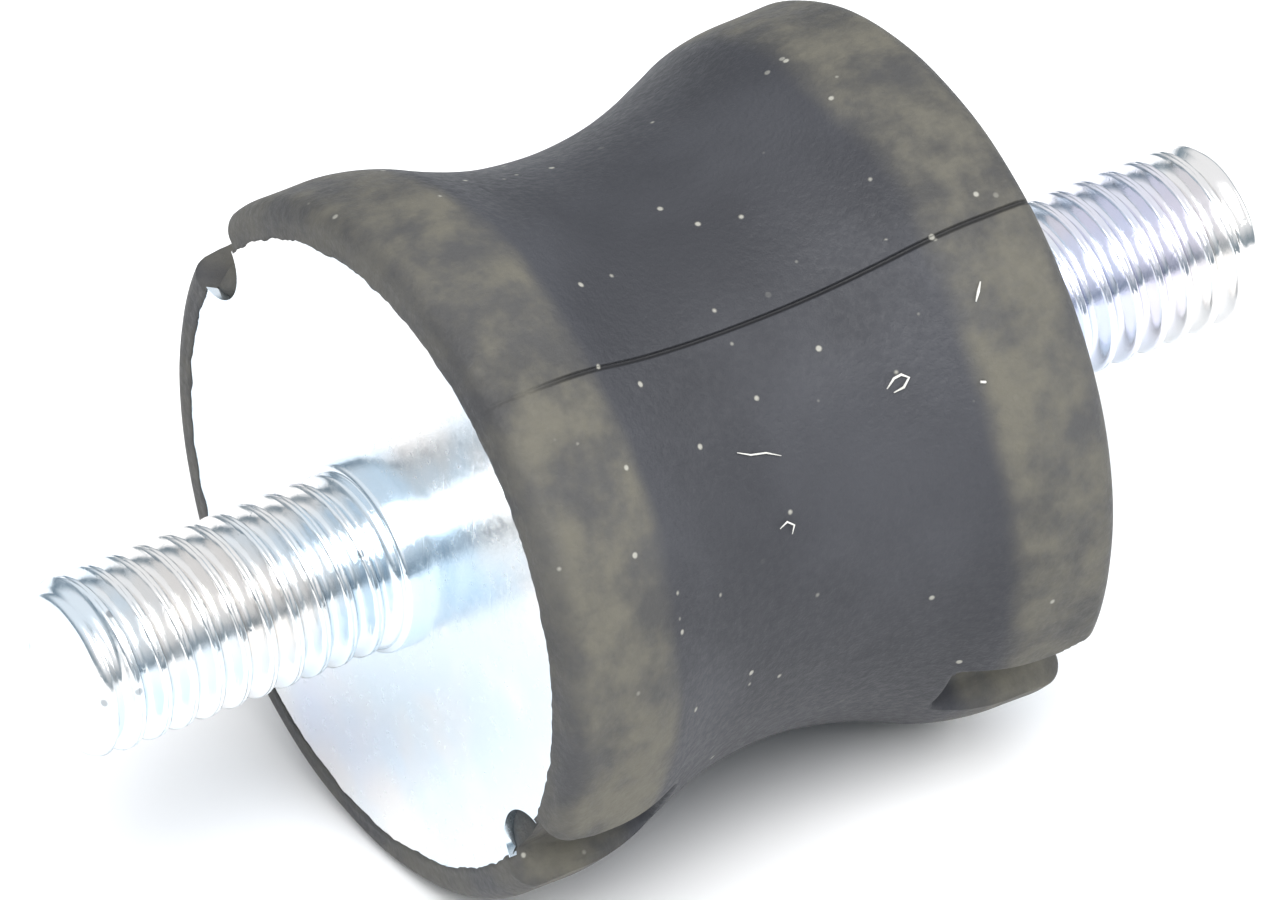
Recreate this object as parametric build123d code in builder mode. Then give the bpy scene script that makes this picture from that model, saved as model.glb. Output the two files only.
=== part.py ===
"""Bobbin vibration mount: two studded steel plates joined by a waisted rubber body.

Units are millimetres. The mount's axis is X, the front stud points along -X, +Z is up as the mount
lies on its rims, and the origin is the centre of the bobbin. The front half is drawn, and the rear
plate and stud are its mirror image.
"""

import os
from math import cos, radians, sin

from build123d import *

# ---- driving dimensions -------------------------------------------------------------------------

# rubber moulding
BODY_LENGTH = 21.0         # over the two plate faces
RIM_RADIUS = 11.9          # rim that wraps each plate
RIM_LAND = 2.3             # straight part of the rim, measured from the end face
LIP_RADIUS = 0.8           # rounding of the rim's outer corner
SHOULDER_RADIUS = 6.1      # convex blend from the rim into the waist
WAIST_RADIUS = 10.1        # at the middle of the body

# grooves that the mould's locating pins leave along both rims
PIN_COUNT = 2              # pins to each plate, evenly spaced
PIN_ANGLE = 123.5          # first pin, from +Z towards -Y
GROOVE_WIDTH = 2.8
GROOVE_LENGTH = 5.1        # from the end face to the rounded inner end
GROOVE_DEPTH = 1.35        # below the rim
GROOVE_CORNER = 0.35       # rounding along the groove's floor

# steel plates
PLATE_RADIUS = 10.75
PLATE_THICKNESS = 2.0
PLATE_EDGE_BREAK = 0.15    # tumbled outer edge on the buried side
NOTCH_RADIUS = 1.45        # round bite for the locating pin
NOTCH_DEPTH = 1.10         # how far the bite reaches in from the plate's edge
NOTCH_RECESS = 0.35        # rubber in the bite stands this far below the plate's face

# studs, M6 x 1, cold headed, pushed through the plate from the rubber side
STUD_RADIUS = 3.0          # major radius of the thread
STUD_LENGTH = 11.8         # out of the plate's face
TIP_CHAMFER = 0.55
COLLAR_RADIUS = 3.2        # plain shoulder under the head, a press fit in the plate
COLLAR_HEIGHT = 0.6        # how far the collar stands out of the plate's face
COLLAR_EDGE = 0.15         # its turned edge
HEAD_RADIUS = 6.0          # flat head, buried in the rubber behind the plate
HEAD_HEIGHT = 2.2
HEAD_EDGE = 0.5            # chamfer of the head's free edge

# ---- derived places -----------------------------------------------------------------------------

END_X = BODY_LENGTH / 2
WAIST_DROP = RIM_RADIUS - WAIST_RADIUS
BLEND_RUN = END_X - RIM_LAND
# centre distance of the two tangent arcs that carry the rim into the waist
ARC_CENTRES = (BLEND_RUN**2 + WAIST_DROP**2) / (2 * WAIST_DROP)
WAIST_ARC = ARC_CENTRES - SHOULDER_RADIUS
# unit vector from the shoulder arc's centre to the waist arc's centre
BLEND_X = BLEND_RUN / ARC_CENTRES
BLEND_Y = (ARC_CENTRES - WAIST_DROP) / ARC_CENTRES
GROOVE_FLOOR = RIM_RADIUS - GROOVE_DEPTH
NOTCH_CENTRE = PLATE_RADIUS - NOTCH_DEPTH + NOTCH_RADIUS

PIN_ANGLES = [PIN_ANGLE + 360 / PIN_COUNT * i for i in range(PIN_COUNT)]
FRONT_FACE = Plane(origin=(-END_X, 0, 0), x_dir=(0, 0, 1), z_dir=(1, 0, 0))  # local +Z runs inwards
BACK_OF_PLATE = FRONT_FACE.offset(PLATE_THICKNESS)


def pin_holes():
    """The bites of the locating pins, in a sketch on a plane along the axis."""
    for angle in PIN_ANGLES:
        with PolarLocations(NOTCH_CENTRE, 1, start_angle=angle):
            Circle(NOTCH_RADIUS, mode=Mode.SUBTRACT)


# ---- steel plate: a punched disc with a stud hole and two bites in its edge ------------------------

with BuildPart() as front_plate:
    with BuildSketch(FRONT_FACE):
        Circle(PLATE_RADIUS)
        Circle(COLLAR_RADIUS, mode=Mode.SUBTRACT)
        pin_holes()
    extrude(amount=PLATE_THICKNESS)
    rear_rim = front_plate.faces().sort_by(Axis.X)[-1].outer_wire().edges()
    chamfer(rear_rim, PLATE_EDGE_BREAK)

# ---- stud: flat head behind the plate, collar through it, chamfered free end ----------------------

with BuildPart() as front_stud:
    with BuildSketch(BACK_OF_PLATE):
        Circle(HEAD_RADIUS)
    extrude(amount=HEAD_HEIGHT)
    chamfer(front_stud.edges().sort_by(Axis.X)[-1], HEAD_EDGE)
    with BuildSketch(BACK_OF_PLATE):
        Circle(COLLAR_RADIUS)
    extrude(amount=-(PLATE_THICKNESS + COLLAR_HEIGHT))
    chamfer(front_stud.edges().sort_by(Axis.X)[0], COLLAR_EDGE)
    with BuildSketch(BACK_OF_PLATE):
        Circle(STUD_RADIUS)
    extrude(amount=-(PLATE_THICKNESS + STUD_LENGTH))
    chamfer(front_stud.edges().sort_by(Axis.X)[0], TIP_CHAMFER)

with BuildPart() as rear_plate:
    add(mirror(front_plate.part, about=Plane.YZ))

with BuildPart() as rear_stud:
    add(mirror(front_stud.part, about=Plane.YZ))

# ---- groove left by a locating pin: a slot with a rounded inner end --------------------------------


def groove(angle, side):
    """Cutter for one groove; side is -1 at the front and 1 at the rear."""
    outward = Vector(0, -sin(radians(angle)), cos(radians(angle)))
    floor = Plane(origin=outward * GROOVE_FLOOR, x_dir=(side, 0, 0), z_dir=outward)
    with BuildPart() as cutter:
        with BuildSketch(floor):
            with Locations((END_X - GROOVE_LENGTH + GROOVE_WIDTH / 2, 0)):
                Circle(GROOVE_WIDTH / 2)
            with Locations((END_X - GROOVE_LENGTH + GROOVE_WIDTH / 2, 0)):
                Rectangle(GROOVE_LENGTH, GROOVE_WIDTH, align=(Align.MIN, Align.CENTER))
        extrude(amount=2 * GROOVE_DEPTH)
        fillet(cutter.faces().sort_by(Axis((0, 0, 0), outward))[0].edges(), GROOVE_CORNER)
    return cutter.part


# ---- rubber moulding ----------------------------------------------------------------------------

with BuildPart() as rubber_body:
    with BuildSketch(Plane.XY):
        with BuildLine():
            rim_start = (-END_X + LIP_RADIUS, RIM_RADIUS)
            shoulder = (-END_X + RIM_LAND, RIM_RADIUS)
            blend = (
                -BLEND_RUN + SHOULDER_RADIUS * BLEND_X,
                RIM_RADIUS - SHOULDER_RADIUS + SHOULDER_RADIUS * BLEND_Y,
            )
            Polyline((-END_X, 0), (-END_X, RIM_RADIUS - LIP_RADIUS))
            TangentArc((-END_X, RIM_RADIUS - LIP_RADIUS), rim_start, tangent=(0, 1))
            Line(rim_start, shoulder)
            TangentArc(shoulder, blend, tangent=(1, 0))
            TangentArc(blend, (0, WAIST_RADIUS), tangent=(BLEND_Y, -BLEND_X))
            mirror(about=Plane.YZ)
            Line((-END_X, 0), (END_X, 0))
        make_face()
    revolve(axis=Axis.X)
    for pin in PIN_ANGLES:
        for end in (-1, 1):
            add(groove(pin, end), mode=Mode.SUBTRACT)

    # the steel is bonded in: the rubber takes the shape of the plates and of the stud heads
    with BuildPart(mode=Mode.PRIVATE) as recess:
        with BuildSketch(FRONT_FACE):
            for angle in PIN_ANGLES:
                with PolarLocations(NOTCH_CENTRE, 1, start_angle=angle):
                    Circle(NOTCH_RADIUS)
        extrude(amount=NOTCH_RECESS)
    add(recess.part, mode=Mode.SUBTRACT)
    add(mirror(recess.part, about=Plane.YZ), mode=Mode.SUBTRACT)
    for steel in (front_plate, rear_plate, front_stud, rear_stud):
        add(steel.part, mode=Mode.SUBTRACT)

# ---- the five pieces, named and written out -------------------------------------------------------

rubber_body.part.label = "rubber_body"
front_plate.part.label = "front_plate"
rear_plate.part.label = "rear_plate"
front_stud.part.label = "front_stud"
rear_stud.part.label = "rear_stud"

os.makedirs("parts", exist_ok=True)
export_step(rubber_body.part, "parts/rubber_body.step")
export_step(front_plate.part, "parts/front_plate.step")
export_step(rear_plate.part, "parts/rear_plate.step")
export_step(front_stud.part, "parts/front_stud.step")
export_step(rear_stud.part, "parts/rear_stud.step")
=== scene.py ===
import math
import bpy
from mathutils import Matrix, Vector, noise


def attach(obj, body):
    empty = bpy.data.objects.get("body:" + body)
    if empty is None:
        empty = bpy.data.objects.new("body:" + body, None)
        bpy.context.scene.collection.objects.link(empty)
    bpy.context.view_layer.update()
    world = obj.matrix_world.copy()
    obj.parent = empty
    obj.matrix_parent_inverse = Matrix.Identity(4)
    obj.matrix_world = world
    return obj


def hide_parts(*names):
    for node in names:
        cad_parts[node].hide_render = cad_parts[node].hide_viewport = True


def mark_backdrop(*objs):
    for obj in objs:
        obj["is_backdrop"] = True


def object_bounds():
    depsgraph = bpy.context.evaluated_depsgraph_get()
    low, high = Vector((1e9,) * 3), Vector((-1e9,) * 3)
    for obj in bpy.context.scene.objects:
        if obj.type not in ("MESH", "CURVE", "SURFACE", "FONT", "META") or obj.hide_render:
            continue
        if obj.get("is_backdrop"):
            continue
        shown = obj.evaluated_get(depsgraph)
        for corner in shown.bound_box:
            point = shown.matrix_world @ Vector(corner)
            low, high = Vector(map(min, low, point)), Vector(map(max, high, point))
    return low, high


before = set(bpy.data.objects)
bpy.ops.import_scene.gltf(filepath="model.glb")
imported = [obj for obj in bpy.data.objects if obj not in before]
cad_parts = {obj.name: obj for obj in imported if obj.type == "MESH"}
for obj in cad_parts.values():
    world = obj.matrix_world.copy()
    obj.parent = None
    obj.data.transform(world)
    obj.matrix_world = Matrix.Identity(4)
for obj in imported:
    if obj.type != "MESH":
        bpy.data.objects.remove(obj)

MM = 0.001


def plain(value):
    if isinstance(value, dict):
        return {str(k): plain(v) for k, v in value.items()}
    if hasattr(value, "__len__") and not isinstance(value, str):
        return [plain(v) for v in value]
    return value if isinstance(value, str) else float(value)


size_loaded = plain(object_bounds())


# ---- node helpers ----
class Value:
    """A node socket that takes arithmetic like a number."""

    def __init__(self, sheet, socket):
        self.sheet, self.socket = sheet, socket

    def calc(self, kind, *others):
        return self.sheet.math(kind, self, *others)

    def __add__(self, o): return self.sheet.math("ADD", self, o)
    def __radd__(self, o): return self.sheet.math("ADD", o, self)
    def __sub__(self, o): return self.sheet.math("SUBTRACT", self, o)
    def __rsub__(self, o): return self.sheet.math("SUBTRACT", o, self)
    def __mul__(self, o): return self.sheet.math("MULTIPLY", self, o)
    def __rmul__(self, o): return self.sheet.math("MULTIPLY", o, self)
    def __truediv__(self, o): return self.sheet.math("DIVIDE", self, o)
    def __rtruediv__(self, o): return self.sheet.math("DIVIDE", o, self)
    def __pow__(self, o): return self.sheet.math("POWER", self, o)
    def __rpow__(self, o): return self.sheet.math("POWER", o, self)


class Sheet:
    """One node tree and the one method that adds a node to it."""

    def __init__(self, tree):
        self.tree = tree

    def add(self, kind, settings=None, inputs=None, out=0):
        node = self.tree.nodes.new(kind)
        for name, value in (settings or {}).items():
            setattr(node, name, value)
        for key, value in (inputs or {}).items():
            if isinstance(value, Value):
                self.tree.links.new(value.socket, node.inputs[key])
            else:
                node.inputs[key].default_value = value
        return Value(self, node.outputs[out]) if len(node.outputs) else node

    def math(self, kind, *terms):
        return self.add("ShaderNodeMath", {"operation": kind}, dict(enumerate(terms)))

    def ramp(self, value, low, high, a=0.0, b=1.0):
        return self.add("ShaderNodeMapRange", {"interpolation_type": "SMOOTHSTEP"},
                        {0: value, 1: low, 2: high, 3: a, 4: b})

    def mix(self, share, a, b):
        return self.add("ShaderNodeMix", {"data_type": "RGBA"}, {0: share, 6: a, 7: b}, 2)

    def grain(self, place, scale, detail=3.0, rough=0.5):
        return self.add("ShaderNodeTexNoise", {}, {"Vector": place, "Scale": scale,
                        "Detail": detail, "Roughness": rough})


def colour(r, g, b):
    """A colour written as 0-255 values, as the shader wants it."""
    f = [c / 255 for c in (r, g, b)]
    return tuple(c / 12.92 if c <= 0.04045 else ((c + 0.055) / 1.055) ** 2.4 for c in f) + (1.0,)


def new_material(name):
    mat = bpy.data.materials.new(name)
    mat.use_nodes = True
    mat.node_tree.nodes.clear()
    return mat, Sheet(mat.node_tree)


def close_material(s, inputs, height, strength, distance):
    bump = s.add("ShaderNodeBump", {}, {"Strength": strength, "Distance": distance, "Height": height})
    inputs["Normal"] = bump
    shader = s.add("ShaderNodeBsdfPrincipled", {}, inputs)
    s.add("ShaderNodeOutputMaterial", {}, {0: shader})


# ---- materials ----
def dusty_rubber():
    mat, s = new_material("dusty_rubber")
    place = s.add("ShaderNodeTexCoord", out=3)
    parts = s.add("ShaderNodeSeparateXYZ", {}, {0: place})
    node = parts.socket.node
    x, y, z = (Value(s, node.outputs[i]) for i in range(3))
    cloud = s.grain(place, 420.0, 4.0, 0.6)
    fine = s.grain(place, 3600.0, 4.0, 0.65)
    wide = s.grain(place, 120.0, 3.0, 0.5)
    reach = x.calc("ABSOLUTE") + (wide - 0.5) * (1.6 * MM)
    band = s.ramp(reach, 6.0 * MM, 6.9 * MM)
    edge = s.ramp(reach, 9.6 * MM, 10.4 * MM)
    dust = band * s.ramp(cloud, 0.34, 0.68, 0.25, 1.0) * (1.0 - edge * 0.45)
    waist = s.mix(s.ramp(wide, 0.35, 0.65), colour(46, 47, 52), colour(60, 61, 66))
    base = s.mix(dust, waist, colour(99, 96, 86))
    angle = s.math("ARCTAN2", y * -1.0, z)
    # painted shade: a near-black line along the parting-line groove at 34.5 degrees darkens the rubber where the
    # groove's shade falls; the same mask also sinks the groove in the bump
    seam = ((angle - math.radians(34.5)).calc("ABSOLUTE") * 11.0)
    line = s.ramp(seam, 0.03, 0.12, 1.0, 0.0) * s.ramp(x, -9.0 * MM, -7.0 * MM)
    base = s.mix(line * 0.8, base, colour(18, 18, 20))
    cell = s.add("ShaderNodeTexVoronoi", {}, {"Vector": place, "Scale": 1500.0})
    cell_colour = Value(s, cell.socket.node.outputs[1])
    pick = s.add("ShaderNodeSeparateColor", {}, {0: cell_colour})
    speck = s.ramp(cell, 0.10, 0.20, 1.0, 0.0) * s.ramp(pick, 0.90, 0.94)
    base = s.mix(speck * 0.75, base, colour(176, 174, 164))
    close_material(s, {"Base Color": base, "Roughness": s.ramp(fine, 0.3, 0.7, 0.50, 0.66) + dust * 0.15,
                       "Specular IOR Level": 0.42},
                   fine * 0.7 + cloud * 0.6 + speck * 0.4 - line * 0.8, 0.75, 0.12 * MM)
    return mat


def bright_zinc(name, rough):
    mat, s = new_material(name)
    place = s.add("ShaderNodeTexCoord", out=3)
    wide = s.grain(place, 150.0, 3.0, 0.55)
    fine = s.grain(place, 1900.0, 5.0, 0.7)
    spin = s.grain(place, 90.0, 2.0, 0.5)
    base = s.mix(s.ramp(wide, 0.40, 0.64), colour(222, 234, 243), colour(238, 236, 234))
    base = s.mix(s.ramp(spin, 0.55, 0.72) * 0.5, base, colour(226, 224, 244))
    cell = s.add("ShaderNodeTexVoronoi", {}, {"Vector": place, "Scale": 900.0})
    pick = s.add("ShaderNodeSeparateColor", {}, {0: Value(s, cell.socket.node.outputs[1])})
    pit = s.ramp(cell, 0.08, 0.16, 1.0, 0.0) * s.ramp(pick, 0.93, 0.96)
    base = s.mix(pit * 0.7, base, colour(120, 128, 134))
    warp = s.add("ShaderNodeVectorMath", {"operation": "MULTIPLY"}, {0: place, 1: (1.0, 1.0, 0.08)})
    scratch = s.ramp(s.grain(warp, 5200.0, 2.0, 0.5), 0.62, 0.72)
    close_material(s, {"Base Color": base, "Metallic": 1.0,
                       "Roughness": s.ramp(fine, 0.3, 0.7, rough - 0.04, rough + 0.09)},
                   fine * 0.35 + wide * 0.5 - scratch * 0.25 - pit * 0.6, 0.22, 0.05 * MM)
    return mat


def pale_fibre():
    mat, s = new_material("pale_fibre")
    place = s.add("ShaderNodeTexCoord", out=3)
    tone = s.grain(place, 900.0)
    base = s.mix(tone, colour(190, 188, 180), colour(236, 235, 230))
    close_material(s, {"Base Color": base, "Roughness": 0.8}, tone, 0.3, 0.02 * MM)
    return mat


RUBBER = dusty_rubber()
ZINC_PLATE = bright_zinc("zinc_on_plate", 0.20)
ZINC_STUD = bright_zinc("zinc_on_stud", 0.17)
FIBRE = pale_fibre()


# ---- meshes ----
def turned_mesh(name, rows, angles, place):
    """A closed skin: pole, rings and pole. place(row, angle) gives x and radius in mm."""
    points, faces, n = [], [], len(angles)
    points.append((rows[0][0] * MM, 0.0, 0.0))
    for row in rows[1:-1]:
        for a in angles:
            x, r = place(row, a)
            points.append((x * MM, -r * math.sin(a) * MM, r * math.cos(a) * MM))
    points.append((rows[-1][0] * MM, 0.0, 0.0))
    last, rings = len(points) - 1, len(rows) - 2
    for j in range(n):
        k = (j + 1) % n
        faces.append((0, 1 + k, 1 + j))
        for i in range(rings - 1):
            a, b = 1 + i * n, 1 + (i + 1) * n
            faces.append((a + j, a + k, b + k, b + j))
        faces.append((last, last - n + j, last - n + k))
    mesh = bpy.data.meshes.new(name)
    mesh.from_pydata(points, [], faces)
    mesh.validate()
    mesh.update()
    volume = sum(mesh.vertices[p.vertices[0]].co.dot(p.normal) * p.area for p in mesh.polygons)
    if volume < 0:
        mesh.flip_normals()
    mesh.shade_smooth()
    return mesh


def show(name, mesh, mat, slot, *nodes):
    obj = bpy.data.objects.new(name, mesh)
    bpy.context.scene.collection.objects.link(obj)
    mesh.materials.clear()
    mesh.materials.append(mat)
    return obj


def smooth(t):
    t = min(1.0, max(0.0, t))
    return t * t * (3 - 2 * t)


def side_radius(x):
    """The rubber's outside radius at a distance x from its middle."""
    d = abs(x)
    if d >= 9.7:
        return 11.1 + math.sqrt(max(0.0, 0.64 - (d - 9.7) ** 2))
    if d >= 8.2:
        return 11.9
    if d >= 5.645:
        return 5.8 + math.sqrt(6.1 ** 2 - (8.2 - d) ** 2)
    return 23.58 - math.sqrt(13.48 ** 2 - d * d)


PINS = [math.radians(a) for a in (123.5, 303.5)]
SEAMS = [math.radians(a) for a in (34.5, 214.5)]


def turn_between(a, b):
    return (a - b + math.pi) % (2 * math.pi) - math.pi


def pin_groove(d, a):
    """How far a spot lies inside a locating pin's groove: 0 outside it, 1 on its floor."""
    best = 0.0
    for pin in PINS:
        s = abs(turn_between(a, pin)) * 11.2
        if s < 3:
            q = (s - 1.05, (5.4 + 0.35) - d)
            away = math.hypot(max(q[0], 0), max(q[1], 0)) + min(max(q), 0) - 0.35
            soft = 0.20 + 0.30 * smooth((d - 8.6) / 1.6)
            best = max(best, 1 - smooth((away + 0.12) / soft))
    return best


def plate_edge(a):
    """The plate's edge radius, with the two bites."""
    r = 10.76
    for pin in PINS:
        t = turn_between(a, pin)
        s = 11.1 * math.sin(t)
        if abs(s) < 1.44 and abs(t) < 0.5:
            r = min(r, 11.1 * math.cos(t) - math.sqrt(1.45 ** 2 - s * s) + 0.01)
    return r


def ripple(a, scale, seed):
    return noise.noise(Vector((math.cos(a) * scale, math.sin(a) * scale, seed)))


def rubber_place(row, a):
    x, r, kind = row
    side = -1 if x < 0 else 1
    d = abs(x)
    edge = plate_edge(a)
    bite = smooth((10.76 - edge) / 0.25)
    if kind == "inside":
        return x, r
    if kind == "back":
        return x, min(edge, r)
    if kind == "hole":
        return side * (10.50 - 0.35 * bite), edge
    if kind == "flash":
        rag = 0.07 + 0.09 * ripple(a, 14, side * 3.1) + 0.06 * ripple(a, 45, side * 7.7)
        reach = r - max(0.0, rag) * (1 - bite)
        return side * (d - 0.38 * bite), min(reach, 10.76) if bite < 0.5 else edge + 0.02
    groove = pin_groove(d if d < 9.9 else 9.9, a)
    flat_r = r if kind == "face" else side_radius(x)
    flat_r += 0.05 * noise.noise(Vector((x * 0.4, 4 * math.cos(a), 4 * math.sin(a)))) * (kind == "side")
    if kind == "side":
        for seam in SEAMS:
            s = turn_between(a, seam) * flat_r
            flat_r += 0.02 * smooth((s + 0.05) / 0.1) * smooth((1.2 - s) / 1.0) - 0.05 * math.exp(-(s / 0.07) ** 2)
    deep_r = min(flat_r, 10.55) if kind != "face" else min(max(r - 0.2, edge + 0.03), 10.55)
    deep_x = min(d, 10.15)
    return side * (d + (deep_x - d) * groove), flat_r + (deep_r - flat_r) * groove


def rubber_rows():
    half = [(-6.2, 0, "inside"), (-6.2, 3.0, "inside"), (-6.2, 6.1, "inside"), (-8.4, 6.1, "inside"),
            (-8.45, 8.0, "inside"), (-8.45, 10.76, "back"), (-9.2, 10.76, "back"), (-9.9, 10.76, "back"),
            (-10.5, 10.76, "hole"), (-10.503, 10.72, "flash"), (-10.53, 10.72, "flash"),
            (-10.54, 10.80, "face"), (-10.52, 10.9, "face"), (-10.50, 11.0, "face"), (-10.50, 11.1, "face")]
    for i in range(1, 12):
        half.append((-(9.7 + 0.8 * math.cos(i * math.pi / 24)), 0, "side"))
    x = -9.7
    while x < -0.05:
        half.append((x, 0, "side"))
        x += 0.15 if x > -9 and x < -4.8 else 0.22
    return half + [(0.0, 0, "side")] + [(-p[0],) + p[1:] for p in reversed(half)]


def rubber_angles():
    marks, a = [], 0.0
    while a < 2 * math.pi - 0.004:
        marks.append(a)
        step = 0.9
        if min(abs(turn_between(a, p)) for p in PINS) < math.radians(12):
            step = 0.35
        if min(abs(turn_between(a, p)) for p in SEAMS) < math.radians(1.2):
            step = 0.12
        a += math.radians(step)
    return marks


rubber_skin = show("rubber_skin", turned_mesh("rubber_skin", rubber_rows(), rubber_angles(), rubber_place),
                   RUBBER, "rubber")


# ---- studs: a turned blank, then a rolled thread ----
def thread_tree():
    tree = bpy.data.node_groups.new("rolled_thread", "GeometryNodeTree")
    tree.interface.new_socket("Geometry", in_out="INPUT", socket_type="NodeSocketGeometry")
    for name in ("Pitch", "Depth", "Crest share", "Start", "End", "Phase"):
        tree.interface.new_socket(name, in_out="INPUT", socket_type="NodeSocketFloat")
    tree.interface.new_socket("Material", in_out="INPUT", socket_type="NodeSocketMaterial")
    tree.interface.new_socket("Geometry", in_out="OUTPUT", socket_type="NodeSocketGeometry")
    s = Sheet(tree)
    start = s.add("NodeGroupInput").socket.node
    given = {o.name: Value(s, o) for o in start.outputs if o.name}
    place = s.add("GeometryNodeInputPosition")
    parts = s.add("ShaderNodeSeparateXYZ", {}, {0: place}).socket.node
    x, y, z = (Value(s, parts.outputs[i]) * 1000.0 for i in range(3))
    radius = ((y * y + z * z).calc("SQRT")).calc("MAXIMUM", 0.001)
    turn = s.math("ARCTAN2", y * -1.0, z) / (2 * math.pi)
    part = (x / given["Pitch"] - turn + given["Phase"]).calc("FRACT")
    near = (part - 0.5).calc("ABSOLUTE") * 2.0
    flank = (near / (1.0 - given["Crest share"])).calc("MINIMUM", 1.0)
    valley = given["Depth"] * (1.0 - flank * flank)
    fold = s.ramp(near, 0.93, 1.0) * 0.05
    out = x.calc("ABSOLUTE")
    live = s.ramp(out - given["Start"], 0.0, 0.7) * s.ramp(given["End"] - out, 0.0, 1.5)
    live = live * s.ramp(radius, 2.0, 2.6)
    sink = (valley + fold) * live / radius * -0.001
    shift = s.add("ShaderNodeCombineXYZ", {}, {1: y * sink, 2: z * sink})
    moved = s.add("GeometryNodeSetPosition", {}, {"Geometry": given["Geometry"], "Offset": shift})
    real = s.add("GeometryNodeRealizeInstances", {}, {"Geometry": moved})
    coat = s.add("GeometryNodeSetMaterial", {}, {"Geometry": real, "Material": given["Material"]})
    s.add("NodeGroupOutput", {}, {0: coat})
    return tree


def stud_rows(side):
    rows = [(6.3, 0), (6.3, 3.0), (6.3, 5.5), (6.8, 6.0), (8.49, 6.0), (8.49, 3.25), (8.6, 3.2), (10.4, 3.2),
            (10.92, 3.2), (10.99, 3.19), (11.05, 3.15), (11.1, 3.06), (11.12, 3.0)]
    x = 11.16
    while x < 21.5:
        rows.append((x, 3.0))
        x += 0.045
    for i in range(9):
        t = i / 8 * math.pi / 2
        rows.append((21.5 + 0.8 * math.sin(t), 3.0 - 0.6 * (1 - math.cos(t)) ** 0.8))
    rows += [(22.3, 2.2), (22.3, 1.8), (22.3, 1.2), (22.3, 0.6), (22.3, 0)]
    return [(side * p[0], p[1]) for p in rows]


def stud(name, side, phase):
    def place(row, a):
        x, r = row
        if side < 0 and abs(x) > 20.5:
            away = math.dist((abs(x), r * math.sin(a), r * math.cos(a)),
                             (22.3, 2.5 * math.sin(math.radians(268)), 2.5 * math.cos(math.radians(268))))
            x += 0.32 * smooth(1 - away / 0.75)
        return x, r
    angles = [i * 2 * math.pi / 120 for i in range(120)]
    obj = show(name, turned_mesh(name, stud_rows(side), angles, place), ZINC_STUD, "zinc_stud")
    mod = obj.modifiers.new("rolled thread", "NODES")
    mod.node_group = THREAD
    values = {"Pitch": 1.0, "Depth": 0.46, "Crest share": 0.26, "Start": 11.1, "End": 22.6,
              "Phase": phase, "Material": ZINC_STUD}
    for item in THREAD.interface.items_tree:
        if item.in_out == "INPUT" and item.name in values:
            mod[item.identifier] = values[item.name]
    graph = bpy.context.evaluated_depsgraph_get()
    mesh = bpy.data.meshes.new_from_object(obj.evaluated_get(graph), depsgraph=graph)
    obj.modifiers.remove(mod)
    obj.data = mesh
    mesh.shade_smooth()
    return obj


THREAD = thread_tree()
threaded_stud_front = stud("threaded_stud_front", -1, 10.9 + 139 / 360)
threaded_stud_rear = stud("threaded_stud_rear", 1, -16.87 + 319 / 360)


# ---- lint on the rubber ----
def lint(name, spots, thick):
    """A fibre lying on the rubber. spots are (x in mm, angle in degrees)."""
    line = []
    for x, deg in spots:
        a, r = math.radians(deg), side_radius(x) + 0.06
        line.append(Vector((x, -r * math.sin(a), r * math.cos(a))))
    points, faces = [], []
    for i, p in enumerate(line):
        along = (line[min(i + 1, len(line) - 1)] - line[max(i - 1, 0)]).normalized()
        up = Vector((0, p.y, p.z)).normalized()
        across = along.cross(up).normalized()
        w = thick * (0.45 if i in (0, len(line) - 1) else 1.0)
        for k in range(6):
            t = k * math.pi / 3
            points.append((p + across * w * math.cos(t) + up * w * math.sin(t)) * MM)
    for i in range(len(line) - 1):
        for k in range(6):
            a, b = i * 6 + k, i * 6 + (k + 1) % 6
            faces.append((a, b, b + 6, a + 6))
    faces += [tuple(range(5, -1, -1)), tuple(range(len(points) - 6, len(points)))]
    mesh = bpy.data.meshes.new(name)
    mesh.from_pydata(points, [], faces)
    mesh.update()
    if sum(mesh.vertices[p.vertices[0]].co.dot(p.normal) * p.area for p in mesh.polygons) < 0:
        mesh.flip_normals()
    mesh.shade_smooth()
    return show(name, mesh, FIBRE, "rubber")


fibres = [
    lint("lint_hook", [(3.54, 54.6), (3.85, 53.3), (4.1, 53.1), (4.3, 54.0), (4.05, 55.3), (3.71, 55.6)], 0.045),
    lint("lint_line", [(-2.1, 55.7), (-1.63, 57.0), (-1.05, 57.7), (-0.55, 59.2)], 0.03),
    lint("lint_curl", [(-1.23, 71.8), (-0.92, 71.1), (-0.68, 72.2), (-0.81, 73.7)], 0.035),
    lint("lint_long", [(7.0, 46.4), (7.2, 45.1), (7.39, 43.8)], 0.055),
    lint("lint_blob", [(6.28, 58.4), (6.44, 58.7)], 0.10),
]

# ---- the plates keep their shape and take the zinc ----
for node in ("front_plate", "rear_plate"):
    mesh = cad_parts[node].data
    for i in range(len(mesh.materials)):
        mesh.materials[i] = ZINC_PLATE

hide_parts("rubber_body")
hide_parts("front_stud")
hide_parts("rear_stud")
for piece in [rubber_skin, threaded_stud_front, threaded_stud_rear] + fibres:
    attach(piece, "root")


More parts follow.
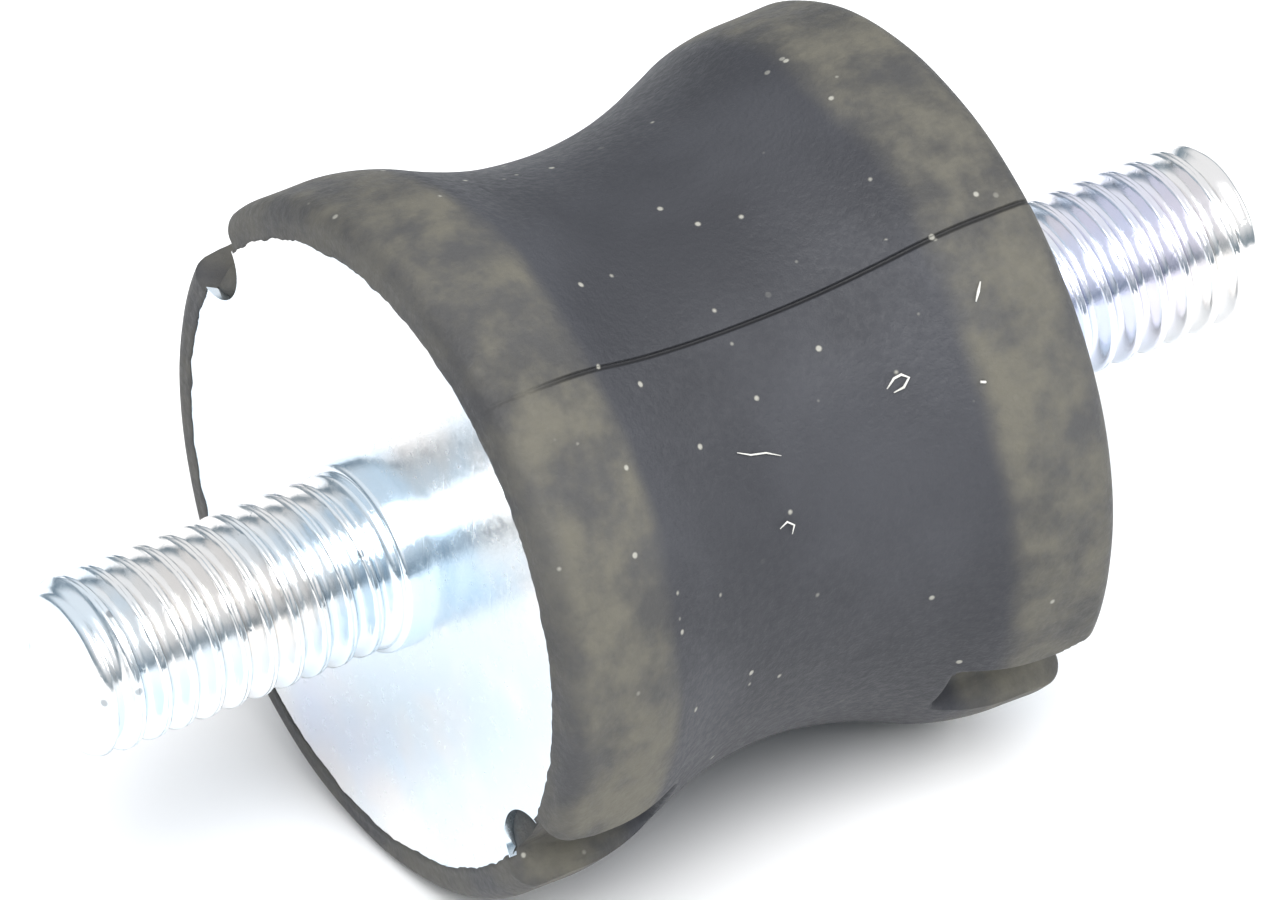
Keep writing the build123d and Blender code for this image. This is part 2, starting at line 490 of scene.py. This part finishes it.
# ---- floor, lamps and camera ----
def studio():
    mat, s = new_material("white_floor")
    soft = s.grain(s.add("ShaderNodeTexCoord", out=3), 3.0)
    shade = s.add("ShaderNodeBsdfDiffuse", {}, {"Color": s.mix(soft, (0.93, 0.93, 0.93, 1), (0.95, 0.95, 0.95, 1))})
    s.add("ShaderNodeOutputMaterial", {}, {0: shade})
    mesh = bpy.data.meshes.new("floor")
    w, z = 3.0, -0.01192
    mesh.from_pydata([(-w, -w, z), (w, -w, z), (w, w, z), (-w, w, z)], [], [(0, 1, 2, 3)])
    mesh.materials.append(mat)
    floor = bpy.data.objects.new("floor", mesh)
    bpy.context.scene.collection.objects.link(floor)
    staged = [floor]
    for name, spot, size, power in (("key_lamp", (-0.25, -0.35, 0.60), 0.45, 5.0),
                                    ("side_lamp", (0.45, -0.25, 0.30), 0.30, 1.3)):
        data = bpy.data.lights.new(name, "AREA")
        data.size, data.energy = size, power
        lamp = bpy.data.objects.new(name, data)
        lamp.location = spot
        lamp.rotation_euler = (-Vector(spot)).to_track_quat("-Z", "Y").to_euler()
        bpy.context.scene.collection.objects.link(lamp)
        staged.append(lamp)
    world = bpy.data.worlds.new("soft_room")
    world.use_nodes = True
    world.node_tree.nodes.clear()
    s = Sheet(world.node_tree)
    ray = s.add("ShaderNodeTexCoord", out=0)
    parts = s.add("ShaderNodeSeparateXYZ", {}, {0: ray}).socket.node
    height = Value(s, parts.outputs[2])
    room = s.mix(s.ramp(height, 0.05, 0.55), colour(120, 138, 150), colour(250, 252, 255))
    path = s.add("ShaderNodeLightPath").socket.node
    back = s.add("ShaderNodeBackground", {}, {0: s.mix(Value(s, path.outputs[0]), room, (1, 1, 1, 1)), 1: 1.0})
    s.add("ShaderNodeOutputWorld", {}, {0: back})
    bpy.context.scene.world = world
    data = bpy.data.cameras.new("camera")
    data.lens, data.sensor_width = 779.1, 36.0
    data.clip_start, data.clip_end = 0.05, 20.0
    camera = bpy.data.objects.new("camera", data)
    camera.location = (-0.39674, -0.60165, 0.52314)
    camera.rotation_euler = (math.radians(54.02), 0, math.radians(-33.39))
    bpy.context.scene.collection.objects.link(camera)
    bpy.context.scene.camera = camera
    bpy.context.scene.view_settings.view_transform = "Standard"
    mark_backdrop(*staged)


studio()
{"after_load": size_loaded, "before_finish": plain(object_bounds())}
